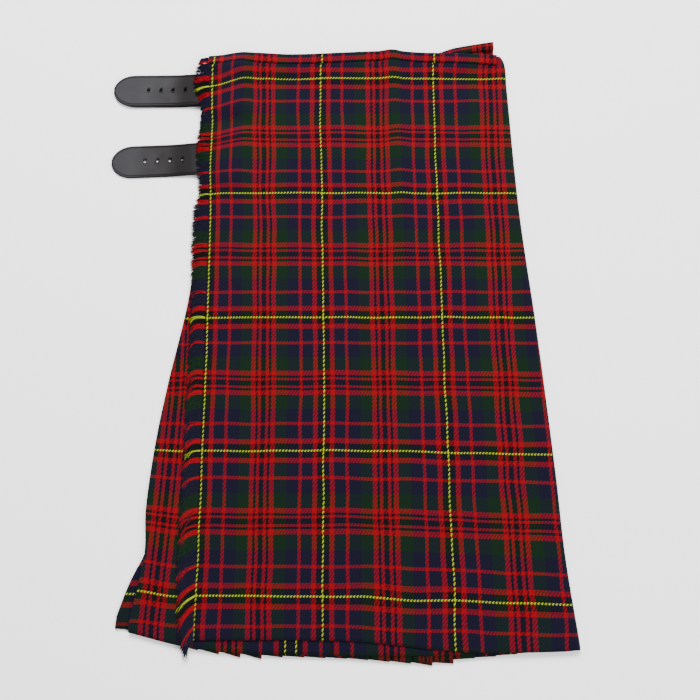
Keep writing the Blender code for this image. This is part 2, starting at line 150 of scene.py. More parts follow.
# How far each knife pleat hangs below its neighbour at its folded edge, at the hem
PLEAT_DROPS = (1.0, 2.0, 3.2, 3.4, 1.2, 0.6, 0.8, 0.5, 0.6, 0.8, 1.0, 2.4, 3.4, 0.6, 0.8, 0.5, 0.4, 0.3)
PLEATS = len(PLEAT_DROPS)
PLEAT_MARGIN = 3.0
PLEAT_EDGE_IN = 1.0
FOLD_NOSE = 0.6
RISER_START = 0.8
RISER_END = 2.4
SEAM_FROM_LEFT = 30.0
INNER_FOLD_FROM_LEFT = 45.0
LEFT_ZONE = 36.0
LAST_STRIP = 6.0
ROLL_WIDTH = 4.5
# The over apron's seam with the back is so far inside the right fold, and nearer to it at the waist
SEAM_FROM_RIGHT = 12.0
SEAM_AT_WAIST = 6.0
SEAM_RISE = Zone(290, 28)
# Where the ends of each panel's sides are across the kilt
Ends = namedtuple("Ends", "left_top left_hem right_top right_hem")
OVER_ENDS = Ends(-150, -144, 154, 205)
UNDER_ENDS = Ends(-120, -172, 150, 200)
BACK_ENDS = Ends(-120, -172, 154, 198)
# The under apron stops so far inside the right fold. Its top edge is a little below the back's, and
# right of its turn it stays below the over apron's too
UNDER_STOPS = 9.0
UNDER_BELOW_BACK = 0.6
UNDER_BELOW_APRON = 3.0
UNDER_TURN = 60.0
# The under apron's left fold: where its two legs start, and its nose's centre and radius
LEG_START = 1.3
NOSE_CENTRE = 1.2
NOSE_RADIUS = 0.7

# Soft ridges of the over apron: where each starts and ends, how high and how wide it is
Ridge = namedtuple("Ridge", "x_top y_top x_low y_low height half_width")
RIDGES = (
    Ridge(44, 330, 58, 60, height=3.0, half_width=15),
    Ridge(-114, 330, -110, 190, height=1.0, half_width=12),
    Ridge(-60, 60, -72, -290, height=1.2, half_width=26),
    Ridge(96, -20, 112, -290, height=1.4, half_width=24),
)
# Creases that only the cloth's skin has
CREASES = (
    Ridge(62, 322, 60, 236, height=0.7, half_width=6),
    Ridge(132, 300, 120, 120, height=0.6, half_width=10),
    Ridge(-84, 318, -92, 236, height=0.5, half_width=8),
    Ridge(4, 180, -6, -40, height=0.6, half_width=14),
    Ridge(150, 60, 166, -180, height=0.8, half_width=12),
    Ridge(-122, -20, -118, -250, height=0.7, half_width=11),
    Ridge(30, -120, 26, -300, height=0.8, half_width=13),
    Ridge(-14, -200, -20, -300, height=0.6, half_width=9),
)

# Straps: the middle of each at its tip, how much it rises for each millimetre from there, and how far
# from its tip it is painted lighter, as a painted highlight where its flat tip catches the light
Strap = namedtuple("Strap", "name tip_x tip_y rise width thickness below worn")
STRAPS = (
    Strap("strap_upper_backing", -248, 283, 0.0, width=36, thickness=BACKING, below=0.0, worn=35),
    Strap("strap_upper", -250, 283, 0.01, width=36, thickness=LEATHER, below=BACKING + GAP, worn=35),
    Strap("strap_lower", -248, 201, 0.04, width=36, thickness=LEATHER, below=0.0, worn=20),
)
STRAP_HIDDEN_END = -120.0
# Room above a strap, past its end and beside it, and how far the apron takes to come down there
STRAP_ROOM = 5 * GAP
STRAP_END_ROOM = 2.0
STRAP_SIDE_ROOM = 3.0
STRAP_RAMP = 24.0
STRAP_SHOULDER = 20.0
STRAP_DROOP = 38.0
STRAP_TIP = 22.0
STRAP_TIP_BLUNT = 0.3
HOLES = 4
FIRST_HOLE = 36.5
HOLE_PITCH = 13.0
HOLE_RADIUS = 1.6

# How long the fringe is, as a share of its usual length
FRINGE_LENGTH = (
    Edge(322, 0.55),
    Edge(305, 0.80),
    Edge(290, 1.00),
    Edge(262, 0.62),
    Edge(215, 0.80),
    Edge(165, 0.66),
    Edge(150, 0.92),
    Edge(60, 1.00),
    Edge(-60, 1.10),
    Edge(-180, 1.28),
    Edge(-240, 1.35),
    Edge(-275, 1.15),
)
# Which way the fringe's threads lie at their root and at their tip, in degrees down from level
Lean = namedtuple("Lean", "y root tip")
FRINGE_LEANS = (
    Lean(322, root=-5, tip=15),
    Lean(292, root=0, tip=12),
    Lean(272, root=10, tip=60),
    Lean(258, root=5, tip=50),
    Lean(240, root=-3, tip=8),
    Lean(150, root=-3, tip=12),
    Lean(100, root=-5, tip=25),
    Lean(70, root=-15, tip=60),
    Lean(-50, root=-10, tip=70),
    Lean(-120, root=0, tip=75),
    Lean(-200, root=12, tip=75),
    Lean(-240, root=35, tip=70),
    Lean(-275, root=58, tip=80),
)


def strap_y(strap, x):
    return strap.tip_y + strap.rise * (x - strap.tip_x)


# The frame's place against the picture's middle, read from the upper strap: its tip is its lowest x,
# and the corner of its hidden end is its highest y
STRAP_LOW, STRAP_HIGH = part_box("strap_upper")
STRAP_CORNER = strap_y(STRAPS[1], STRAP_HIDDEN_END) + STRAPS[1].width / 2
SHIFT = Vector((STRAP_LOW[0] / MM - STRAPS[1].tip_x, STRAP_HIGH[1] / MM - STRAP_CORNER, 0.02))


def to_frame(point):
    return (point + SHIFT) * MM


# The tartan

# The sett repeats down the cloth every so many millimetres
SETT_ALONG = 133.0

YELLOW = (134, 148, 8)
RED = (117, 1, 13)
NAVY = (13, 12, 29)
GREEN = (8, 27, 14)
BLACK = (7, 7, 9)
# Half of the sett, from the middle of the yellow to the middle of the green, in threads. The yellow
# has two threads in the warp and three in the weft, so the weft's middle is in a thread
Stripe = namedtuple("Stripe", "colour warp weft")
HALF_SETT = (
    Stripe(YELLOW, warp=1, weft=1.5),
    Stripe(BLACK, warp=7, weft=10),
    Stripe(RED, warp=6, weft=8),
    Stripe(NAVY, warp=14, weft=22),
    Stripe(RED, warp=4, weft=5),
    Stripe(NAVY, warp=15, weft=22),
    Stripe(GREEN, warp=15, weft=23),
    Stripe(RED, warp=6, weft=8),
    Stripe(BLACK, warp=3, weft=4),
    Stripe(RED, warp=4, weft=4),
    Stripe(BLACK, warp=3, weft=4.5),
)
WARP_COUNTS = [stripe.warp for stripe in HALF_SETT]
WEFT_COUNTS = [stripe.weft for stripe in HALF_SETT]
THREADS_ACROSS = 2 * sum(WARP_COUNTS)
THREADS_ALONG = 2 * sum(WEFT_COUNTS)
# Added to a thread's number, these put the sett's mirror line on the yellow's middle
WARP_MIDDLE = 0.5
WEFT_MIDDLE = 1.0

# The over apron's warp fans out towards the hem. At three heights: where the first yellow line is,
# how wide the first half of the sett beside it is, how wide each whole sett is after that, and how
# much the setts grow from there to the right
Run = namedtuple("Run", "y line half sett growth")
WARP_RUNS = (
    Run(260, line=-145, half=54, sett=119.5, growth=0.0),
    Run(0, line=-141, half=56.5, sett=117, growth=0.3),
    Run(-260, line=-142, half=58, sett=117, growth=2.0),
)
# The first yellow weft line is this high. The weft droops at the waist's free corner, hangs lower at
# the right of the hem and rises a little towards the left fold. It sags a little near the waist and
# near the hem, where it also steps down to the right of the middle
FIRST_WEFT = 297.5
CORNER_DROP = 11.0
CORNER_X, CORNER_Y = Zone(-100, -55), Zone(150, 110)
FAN_DROP = 8.0
FAN_X, FAN_Y = Zone(-20, 240), Zone(60, -340)
FOLD_RISE = 5.0
FOLD_X, FOLD_Y = Zone(-160, -40), Zone(0, -240)
WAIST_SAG = 2.2
WAIST_Y = Zone(160, 45)
HEM_SAG = 2.6
HEM_Y = Zone(-150, -130)
HEM_STEP = 1.6
STEP_X, STEP_END_X, STEP_Y = Zone(5, 25), Zone(110, -50), Zone(-200, -60)
# How far threads stray from their straight way, over what length, and the seed of each way's noise
WANDER = 1.2
WANDER_LENGTH = 38.0
WARP_SEED = 4.3
WEFT_SEED = 8.1

# Where the middle of the under apron's green runs
UNDER_GREEN = (
    Edge(-50, -169),
    Edge(-150, -174),
    Edge(-260, -182),
)
# Where the stripes of the lower layers lie at the hem: up to a place across, one line's place and its
# setts, and how far their weft hangs below the over apron's
HemStripe = namedtuple("HemStripe", "up_to line_x line_setts drop")
HEM_STRIPES = (
    HemStripe(up_to=-97, line_x=-110, line_setts=0.5, drop=3),
    HemStripe(up_to=-54, line_x=-59, line_setts=1.0, drop=10),
    HemStripe(up_to=-18, line_x=-49, line_setts=1.0, drop=10),
    HemStripe(up_to=45, line_x=38, line_setts=1.5, drop=8),
    HemStripe(up_to=72, line_x=38, line_setts=1.5, drop=5),
    HemStripe(up_to=400, line_x=88, line_setts=1.5, drop=5),
)
# The waistbands' stripes run along their top edge. Which setts lie on that edge, how far the front
# one's warp is to the left of the apron's, and where the middle of the back one's green is. The back
# itself follows its band as far as this below the edge
FRONT_EDGE_SETTS = -0.113
BACK_EDGE_SETTS = -0.549
BAND_SHIFT = -0.012
BAND_GREEN = 143.0
BACK_WAIST = 16.0


# Curves through the tables


def smooth(t):
    """0 below 0, 1 above 1, and a soft step between."""
    t = min(max(t, 0.0), 1.0)
    return t * t * (3 - 2 * t)


def grown(at, zone):
    """0 before a zone, 1 past it, and a soft step between."""
    return smooth((at - zone.start) / zone.reach)


def follow(rows, at):
    """The second column of a table at a place in its first, by a smooth curve through the rows."""
    rows = sorted((row[0], row[1]) for row in rows)
    if at <= rows[0][0]:
        return rows[0][1]
    if at >= rows[-1][0]:
        return rows[-1][1]
    slopes = []
    for i in range(len(rows)):
        before = rows[max(i - 1, 0)]
        after = rows[min(i + 1, len(rows) - 1)]
        slopes.append((after[1] - before[1]) / (after[0] - before[0]))
    i = max(k for k, row in enumerate(rows) if row[0] <= at)
    (a, low), (b, high) = rows[i], rows[i + 1]
    t = (at - a) / (b - a)
    reach = b - a
    return (
        low * (1 + 2 * t) * (1 - t) ** 2
        + high * t * t * (3 - 2 * t)
        + slopes[i] * reach * t * (1 - t) ** 2
        - slopes[i + 1] * reach * t * t * (1 - t)
    )


def between(a, b, t):
    return a + (b - a) * t


def spread(a, b, count):
    """count places from a to b, both included."""
    return [between(a, b, i / (count - 1)) for i in range(count)]


# Heights of the layers

# Each layer is raised by the back's waistband in full down to one distance from the back's top edge,
# and not at all below another. From the middle to the right both distances are longer
BandRamp = namedtuple("BandRamp", "full none more_full more_none")
PLEAT_RAMP = BandRamp(full=8, none=11.5, more_full=0, more_none=0)
UNDER_RAMP = BandRamp(full=11, none=15.5, more_full=4, more_none=7)
OVER_RAMP = BandRamp(full=14, none=26, more_full=8, more_none=8)
LONGER_RAMPS = Zone(-60, 40)
# The over apron is raised by its own band likewise
FRONT_BAND_RAMP = Zone(20, -7)
# The layers at the left settle beside the splayed fold: how far from it, and over what length. The
# over apron bridges it and follows by a share
SINK_FROM = 5.0
SINK_REACH = 12.0
OVER_SINK_FROM = 11.0
OVER_SINK_REACH = 14.0
OVER_SINK_SHARE = 0.65
# The shares of a ridge's length over which it rises and fades
RIDGE_RISE = 0.1
RIDGE_FADE = 0.5
# The over apron's unevenness is a level and two waves: their height, length each way and seed
Wave = namedtuple("Wave", "height across along seed")
RUMPLE_LEVEL = 0.28
RUMPLE_WAVES = (
    Wave(height=0.34, across=46, along=80, seed=2.7),
    Wave(height=0.12, across=17, along=31, seed=9.1),
)


def splay_x(y):
    return follow(LEFT_FOLD, y) + follow(SPLAY, y)


def band_lift(ramp, x, y):
    """1 where the back's waistband raises a layer in full, falling to 0 below it."""
    longer = grown(x, LONGER_RAMPS)
    full = ramp.full + ramp.more_full * longer
    none = ramp.none + ramp.more_none * longer
    return smooth((none - (follow(BACK_TOP, x) - y)) / (none - full))


def sink(x, y):
    """How far the layers at the left settle where the splayed fold isn't under them."""
    return 2 * LAYER * smooth((splay_x(y) - SINK_FROM - x) / SINK_REACH)


def pleat_z(level, x, y):
    lift = LAYER * band_lift(PLEAT_RAMP, x, y)
    settled = sink(x, y) if level >= TOP_OF_PLEATS else 0.0
    return CLOTH / 2 + level * LAYER + lift - settled


def under_z(x, y):
    lift = 2 * LAYER * band_lift(UNDER_RAMP, x, y)
    return CLOTH / 2 + UNDER_LEVEL * LAYER + lift - sink(x, y)


def strap_z(strap, x):
    """The middle of a strap, which lies on the under apron and then droops to the table."""
    middle = strap_y(strap, x)
    fold = follow(LEFT_FOLD, middle)
    edges = (middle - strap.width / 2, middle + strap.width / 2)
    on_cloth = max(under_z(max(x, fold + 1), y) for y in edges) + CLOTH / 2 + 2 * GAP
    share = smooth((x - (fold - STRAP_DROOP)) / STRAP_DROOP)
    return on_cloth * share + strap.below + strap.thickness / 2


def strap_lift(x, y):
    """How far the over apron is raised by the straps below it."""
    lift = 0.0
    for strap in STRAPS:
        top = strap.below + strap.thickness + STRAP_ROOM
        across = smooth((STRAP_HIDDEN_END + STRAP_END_ROOM - x) / STRAP_RAMP + 1)
        beyond = abs(y - strap_y(strap, x)) - strap.width / 2 - STRAP_SIDE_ROOM
        lift = max(lift, top * across * smooth(1 - beyond / STRAP_SHOULDER))
    return lift


def ridge_height(ridges, x, y):
    height = 0.0
    for ridge in ridges:
        along = (ridge.y_top - y) / (ridge.y_top - ridge.y_low)
        if 0 < along < 1:
            middle = between(ridge.x_top, ridge.x_low, along)
            fade = smooth((1 - along) / RIDGE_FADE)
            if ridge.y_top <= follow(APRON_TOP, ridge.x_top):
                fade *= smooth(along / RIDGE_RISE)
            height += ridge.height * fade * smooth(1 - abs(x - middle) / ridge.half_width)
    return height


def rumple(x, y):
    """A slight unevenness of cloth that was folded away, never below the smooth surface."""
    height = RUMPLE_LEVEL
    for wave in RUMPLE_WAVES:
        height += wave.height * noise.noise(Vector((x / wave.across, y / wave.along, wave.seed)))
    return max(0.0, height)


def over_z(x, y):
    """The middle of the over apron, which lies on the under apron, the straps and its own band."""
    back_band = 2 * LAYER * band_lift(OVER_RAMP, x, y)
    front_band = LAYER * grown(follow(APRON_TOP, x) - y, FRONT_BAND_RAMP)
    beside_splay = smooth((splay_x(y) - OVER_SINK_FROM - x) / OVER_SINK_REACH)
    settled = OVER_SINK_SHARE * 2 * LAYER * beside_splay
    base = CLOTH / 2 + (UNDER_LEVEL + 1) * LAYER
    height = base + back_band + front_band - settled + strap_lift(x, y)
    return height + ridge_height(RIDGES, x, y) + ridge_height(CREASES, x, y) + rumple(x, y)


# Where the stripes run


def run_at(column, y):
    """One column of the warp's table at a height."""
    return follow([(run.y, getattr(run, column)) for run in WARP_RUNS], y)


def wander(x, y, seed):
    """How far a thread strays from its straight way."""
    return WANDER * noise.noise(Vector((x / WANDER_LENGTH, y / WANDER_LENGTH, seed)))


def warp_setts(x, y):
    """Setts across, from the over apron's first yellow line."""
    inward = x - run_at("line", y) + wander(x, y, WARP_SEED)
    half = run_at("half", y)
    if inward < half:
        return 0.5 * inward / half
    setts = (inward - half) / run_at("sett", y)
    return 0.5 + setts - run_at("growth", y) * setts * setts / run_at("sett", y)


def weft_setts(x, y):
    """Setts down from the first yellow weft line, which isn't quite straight."""
    corner = CORNER_DROP * grown(x, CORNER_X) * grown(y, CORNER_Y)
    fan = FAN_DROP * grown(x, FAN_X) * grown(y, FAN_Y)
    rise = FOLD_RISE * grown(x, FOLD_X) * grown(y, FOLD_Y)
    sag = WAIST_SAG * grown(y, WAIST_Y) + HEM_SAG * grown(y, HEM_Y)
    step = HEM_STEP * grown(x, STEP_X) * grown(x, STEP_END_X) * grown(y, STEP_Y)
    height = FIRST_WEFT - corner - fan + rise - sag - step
    return (height - y + wander(x, y, WEFT_SEED)) / SETT_ALONG


def over_cloth(x, y):
    """Setts across and along at a place on the over apron."""
    return warp_setts(x, y), weft_setts(x, y)


def back_cloth(x, y):
    if follow(BACK_TOP, x) - y < BACK_WAIST:
        return back_band_cloth(x, y)
    stripe = next(s for s in HEM_STRIPES if x < s.up_to)
    across = stripe.line_setts + (x - stripe.line_x) / WARP_RUNS[1].sett
    return across, weft_setts(x, y + stripe.drop)


def under_cloth(x, y):
    if x > follow(FREE_EDGE, y):
        return back_cloth(x, y)
    return 0.5 + (x - follow(UNDER_GREEN, y)) / WARP_RUNS[1].sett, weft_setts(x, y)


def front_band_cloth(x, y):
    along = FRONT_EDGE_SETTS + (follow(APRON_TOP, x) - y) / SETT_ALONG
    return over_cloth(x, y)[0] + BAND_SHIFT, along


def back_band_cloth(x, y):
    along = BACK_EDGE_SETTS + (follow(BACK_TOP, x) - y) / SETT_ALONG
    return 0.5 + (x - BAND_GREEN) / WARP_RUNS[0].sett, along


# Meshes

Point = namedtuple("Point", "place across along")


def finish_mesh(name, bm, material):
    """Makes an object of a bmesh that holds millimetres of the picture, with soft shading."""
    bmesh.ops.recalc_face_normals(bm, faces=bm.faces)
    if bm.calc_volume(signed=True) < 0:
        bmesh.ops.reverse_faces(bm, faces=bm.faces)
    for vertex in bm.verts:
        vertex.co = to_frame(vertex.co)
    for face in bm.faces:
        face.smooth = True
    mesh = bpy.data.meshes.new(name)
    bm.to_mesh(mesh)
    bm.free()
    mesh.materials.append(material)
    piece = bpy.data.objects.new(name, mesh)
    bpy.context.scene.collection.objects.link(piece)
    return piece


def surface_offset(rows, j, k):
    """From the wall's middle to its upper face at one point, mitred where the wall turns."""
    row = rows[j]
    along = rows[min(j + 1, len(rows) - 1)][k].place - rows[max(j - 1, 0)][k].place
    ends = [(a, a + 1) for a in (k - 1, k) if 0 <= a and a + 1 < len(row)]
    normals = [(row[b].place - row[a].place).cross(along).normalized() for a, b in ends]
    first, last = normals[0], normals[-1]
    return (first + last) / (1 + first.dot(last)) * (CLOTH / 2)


def set_uvs(bm, uv, where):
    for face in bm.faces:
        for loop in face.loops:
            loop[uv].uv = where[loop.vert]


def cloth_wall(name, rows, material):
    """A closed wall of cloth whose middle surface runs through rows of points."""
    bm = bmesh.new()
    uv = bm.loops.layers.uv.new("cloth")
    where = {}
    upper, lower = [], []
    for j, row in enumerate(rows):
        offsets = [surface_offset(rows, j, k) for k in range(len(row))]
        for side, sign in ((upper, 1), (lower, -1)):
            line = []
            for point, offset in zip(row, offsets):
                vertex = bm.verts.new(point.place + sign * offset)
                where[vertex] = (point.across, point.along)
                line.append(vertex)
            side.append(line)
    last_row, last_point = len(rows) - 1, len(rows[0]) - 1
    for j in range(last_row):
        for k in range(last_point):
            for side in (upper, lower):
                bm.faces.new((side[j][k], side[j][k + 1], side[j + 1][k + 1], side[j + 1][k]))
        for k in (0, last_point):
            bm.faces.new((upper[j][k], upper[j + 1][k], lower[j + 1][k], lower[j][k]))
    for j in (0, last_row):
        for k in range(last_point):
            bm.faces.new((upper[j][k], upper[j][k + 1], lower[j][k + 1], lower[j][k]))
    set_uvs(bm, uv, where)
    return finish_mesh(name, bm, material)


def close_tube(bm, rings):
    """Faces along a row of rings and over its two ends."""
    faces = []
    count = len(rings[0])
    for here, there in zip(rings, rings[1:]):
        for i in range(count):
            ahead = (i + 1) % count
            faces.append(bm.faces.new((here[i], here[ahead], there[ahead], there[i])))
    return faces + [bm.faces.new(rings[0]), bm.faces.new(rings[-1])]


def panel_y(top, hem, x, down):
    """The place along the kilt of a panel's point, a share of the way from its top to its hem."""
    return between(follow(top, x), follow(hem, x), down)


def side_ys(top, hem, ends, down):
    """The places along the kilt of a panel's left and right sides."""
    left = between(follow(top, ends.left_top), follow(hem, ends.left_hem), down)
    return left, between(follow(top, ends.right_top), follow(hem, ends.right_hem), down)


def run_on(row, places, sett):
    """Carries a row's cloth on over more places, from its last point and along the same weft thread."""
    for place in places:
        last = row[-1]
        row.append(Point(place, last.across + (place - last.place).length / sett, last.along))
    return row


# Materials


def linear(colour):
    """Linear light of a colour given as it looks on a screen, 0 to 255."""
    shares = [value / 255 for value in colour]
    return tuple(s / 12.92 if s <= 0.04045 else ((s + 0.055) / 1.055) ** 2.4 for s in shares)


class Nodes:
    """A material's nodes, made and joined with short calls."""

    def __init__(self, name):
        self.material = bpy.data.materials.new(name)
        self.material.use_nodes = True
        self.tree = self.material.node_tree
        self.shader = self.tree.nodes["Principled BSDF"]

    def add(self, kind, **settings):
        node = self.tree.nodes.new(kind)
        for key, value in settings.items():
            setattr(node, key, value)
        return node

    def join(self, source, target):
        self.tree.links.new(source, target)

    def math(self, operation, *values):
        node = self.add("ShaderNodeMath", operation=operation)
        for socket, value in zip(node.inputs, values):
            if isinstance(value, (int, float)):
                socket.default_value = value
            else:
                self.join(value, socket)
        return node.outputs[0]

    def mix(self, share, a, b, blend="MIX"):
        node = self.add("ShaderNodeMix", data_type="RGBA", blend_type=blend)
        sockets = [s for s in node.inputs if s.enabled]
        for socket, value in zip(sockets, (share, a, b)):
            if isinstance(value, (int, float)):
                socket.default_value = value
            elif isinstance(value, tuple):
                socket.default_value = (*value, 1.0)
            else:
                self.join(value, socket)
        return next(s for s in node.outputs if s.enabled)

    def ramp(self, value, stops, interpolation="LINEAR"):
        node = self.add("ShaderNodeValToRGB")
        node.color_ramp.interpolation = interpolation
        elements = node.color_ramp.elements
        while len(elements) > 1:
            elements.remove(elements[-1])
        for index, (place, colour) in enumerate(stops):
            element = elements.new(place) if index else elements[0]
            element.position = place
            element.color = (*colour, 1.0)
        self.join(value, node.inputs[0])
        return node.outputs[0]

    def noise(self, vector, scale, detail=2.0):
        node = self.add("ShaderNodeTexNoise")
        node.inputs["Scale"].default_value = scale
        node.inputs["Detail"].default_value = detail
        self.join(vector, node.inputs["Vector"])
        return node.outputs[0]

    def map_parts(self, uv_map):
        """The two coordinates of a UV map."""
        parts = self.add("ShaderNodeSeparateXYZ")
        self.join(self.add("ShaderNodeUVMap", uv_map=uv_map).outputs[0], parts.inputs[0])
        return parts.outputs[0], parts.outputs[1]

    def shade(self, colour, amount):
        """A colour made lighter or darker by an amount."""
        grey = self.add("ShaderNodeCombineXYZ")
        for socket in grey.inputs:
            self.join(amount, socket)
        return self.mix(1.0, colour, grey.outputs[0], "MULTIPLY")

    def bump(self, height, strength, distance):
        bump = self.add("ShaderNodeBump")
        bump.inputs["Strength"].default_value = strength
        bump.inputs["Distance"].default_value = distance
        self.join(height, bump.inputs["Height"])
        self.join(bump.outputs[0], self.shader.inputs["Normal"])


# Wool: how dark a thread is painted where it turns under, as painted shade in the dips between the
# threads, and how much of the threads below shows through a float, except at the yellow, whose strokes
# stand out
TURNED_UNDER_SHADE = 0.45
SHOW_THROUGH = 0.17
# A steep twill: how many warp threads further each weft thread's floats start than the last one's,
# after how many warp threads a float comes again, and how many of them it goes over
TWILL_STEP = 0.55
FLOAT_REPEAT = 4.0
WEFT_FLOAT = 1.9
# The relief of a thread, in metres
THREAD_BUMP = 0.5
THREAD_RELIEF = 0.0002
WOOL_SPECULAR = 0.06
WOOL_ROUGHNESS = 0.9
WOOL_SHEEN = 0.02
FRAYED_ROUGHNESS = 0.95
FRAYED_SHEEN = 0.03
SHEEN_ROUGHNESS = 0.5
# Loose threads are uneven in light: the noise's scale, and the least light and how much more there is
FRAY_NOISE = 900.0
FRAY_DARKEST = 0.6
FRAY_RANGE = 0.9


def folded_thread(nodes, thread, counts, middle):
    """How many threads a thread is from the nearest yellow's middle."""
    return nodes.math("PINGPONG", nodes.math("ADD", thread, middle), float(sum(counts)))


def stripe_colour(nodes, thread, counts, middle):
    """The colour that a thread has, from its number in the cloth and the stripes' thread counts."""
    half_count = sum(counts)
    share = nodes.math("DIVIDE", folded_thread(nodes, thread, counts, middle), half_count)
    stops = []
    for index, stripe in enumerate(HALF_SETT):
        stops.append((sum(counts[:index]) / half_count, linear(stripe.colour)))
    return nodes.ramp(share, stops, "CONSTANT")


def is_yellow(nodes, thread, counts, middle):
    """1 for the threads of the sett's first stripe, which is the yellow, and 0 for the others."""
    return nodes.math("LESS_THAN", folded_thread(nodes, thread, counts, middle), float(counts[0]))


def weft_on_top(nodes, warp, weft):
    """1 where the weft floats over the warp, and 0 where it runs below it."""
    moved = nodes.math("ADD", warp, nodes.math("MULTIPLY", weft, TWILL_STEP))
    step = nodes.math("FLOORED_MODULO", moved, FLOAT_REPEAT)
    return nodes.math("LESS_THAN", step, WEFT_FLOAT)


def weft_share(nodes, on_top, warp, weft):
    """How much of the weft's colour shows at a place."""
    yellow = nodes.math(
        "MAXIMUM",
        is_yellow(nodes, warp, WARP_COUNTS, WARP_MIDDLE),
        is_yellow(nodes, weft, WEFT_COUNTS, WEFT_MIDDLE),
    )
    through = nodes.math("MULTIPLY", nodes.math("SUBTRACT", 1.0, yellow), SHOW_THROUGH)
    full = nodes.math("SUBTRACT", 1.0, nodes.math("MULTIPLY", through, 2.0))
    return nodes.math("ADD", nodes.math("MULTIPLY", on_top, full), through)


def roundness(nodes, place):
    """How high a thread's round top is at a place across it."""
    return nodes.math("SINE", nodes.math("MULTIPLY", nodes.math("FRACT", place), math.pi))


def make_woollen(nodes, colour, roughness, sheen):
    """Gives the shader a colour and the dull surface of wool."""
    nodes.join(colour, nodes.shader.inputs["Base Color"])
    nodes.shader.inputs["Roughness"].default_value = roughness
    nodes.shader.inputs["Specular IOR Level"].default_value = WOOL_SPECULAR
    nodes.shader.inputs["Sheen Weight"].default_value = sheen
    nodes.shader.inputs["Sheen Roughness"].default_value = SHEEN_ROUGHNESS


def tartan(name):
    """Twill in the sett's stripes, from the setts across and along in the cloth's UV map, with painted
    shade where each thread dips under.
    """
    nodes = Nodes(name)
    setts_across, setts_along = nodes.map_parts("cloth")
    across = nodes.math("MULTIPLY", setts_across, THREADS_ACROSS)
    along = nodes.math("MULTIPLY", setts_along, THREADS_ALONG)
    warp, weft = nodes.math("FLOOR", across), nodes.math("FLOOR", along)
    on_top = weft_on_top(nodes, warp, weft)
    top = nodes.math("MULTIPLY", roundness(nodes, along), on_top)
    below = nodes.math("MULTIPLY", roundness(nodes, across), nodes.math("SUBTRACT", 1.0, on_top))
    profile = nodes.math("ADD", top, below)
    warp_colour = stripe_colour(nodes, warp, WARP_COUNTS, WARP_MIDDLE)
    weft_colour = stripe_colour(nodes, weft, WEFT_COUNTS, WEFT_MIDDLE)
    colour = nodes.mix(weft_share(nodes, on_top, warp, weft), warp_colour, weft_colour)
    # Painted shade: each thread is darkened towards its edges, where it dips under its neighbours; the same
    # profile gives the threads their bump
    light = nodes.math("ADD", nodes.math("MULTIPLY", profile, 1 - TURNED_UNDER_SHADE), TURNED_UNDER_SHADE)
    make_woollen(nodes, nodes.shade(colour, light), WOOL_ROUGHNESS, WOOL_SHEEN)
    nodes.bump(profile, THREAD_BUMP, THREAD_RELIEF)
    return nodes.material


def frayed_wool(name):
    """Loose weft threads: each has the one colour of its place along the kilt."""
    nodes = Nodes(name)
    setts_along = nodes.map_parts("cloth")[1]
    weft = nodes.math("FLOOR", nodes.math("MULTIPLY", setts_along, THREADS_ALONG))
    colour = stripe_colour(nodes, weft, WEFT_COUNTS, WEFT_MIDDLE)
    uneven = nodes.noise(nodes.add("ShaderNodeTexCoord").outputs["Object"], FRAY_NOISE)
    light = nodes.math("ADD", nodes.math("MULTIPLY", uneven, FRAY_RANGE), FRAY_DARKEST)
    make_woollen(nodes, nodes.shade(colour, light), FRAYED_ROUGHNESS, FRAYED_SHEEN)
    return nodes.material


# Leather, with cloudy noise for its roughness and for the uneven edge of its painted highlight, and
# noise for its grain
# The leather's own dark colour, and the lighter colour painted at the tip as a painted highlight
LEATHER_DARK = (19, 16, 17)
LEATHER_PAINTED_HIGHLIGHT = (37, 36, 39)
CREASE_SHADE_COLOUR = (10, 9, 10)
RIM_COLOUR = (16, 14, 15)
CLOUD_NOISE = 60.0
CLOUD_DETAIL = 3.0
GRAIN_NOISE = 1500.0
# Past its painted highlight a strap darkens over so many centimetres, and its clouds move this by up to
# so many
DARKENS_OVER = 3.5
CLOUDS_MOVE = 2.0
# The crease and the dark rim, in millimetres from the edge, and how strong their colours are. The
# crease's darker colour is painted shade in its groove
CREASE_IN = 2.2
CREASE_WIDTH = 0.7
CREASE_SHADE_SHARE = 0.7
RIM_WIDTH = 1.2
RIM_SHARE = 0.6
# The relief of the crease, in metres, with the grain's height as a share of it
LEATHER_BUMP = 0.6
LEATHER_RELIEF = 0.0004
GRAIN_HEIGHT = 0.08
LEATHER_SPECULAR = 0.04
LEATHER_SMOOTHEST = 0.24
LEATHER_ROUGHER = 0.2


def near(nodes, distance, width):
    """1 at no distance, falling to 0 at a width."""
    share = nodes.math("MINIMUM", nodes.math("DIVIDE", distance, width), 1.0)
    return nodes.math("SUBTRACT", 1.0, share)


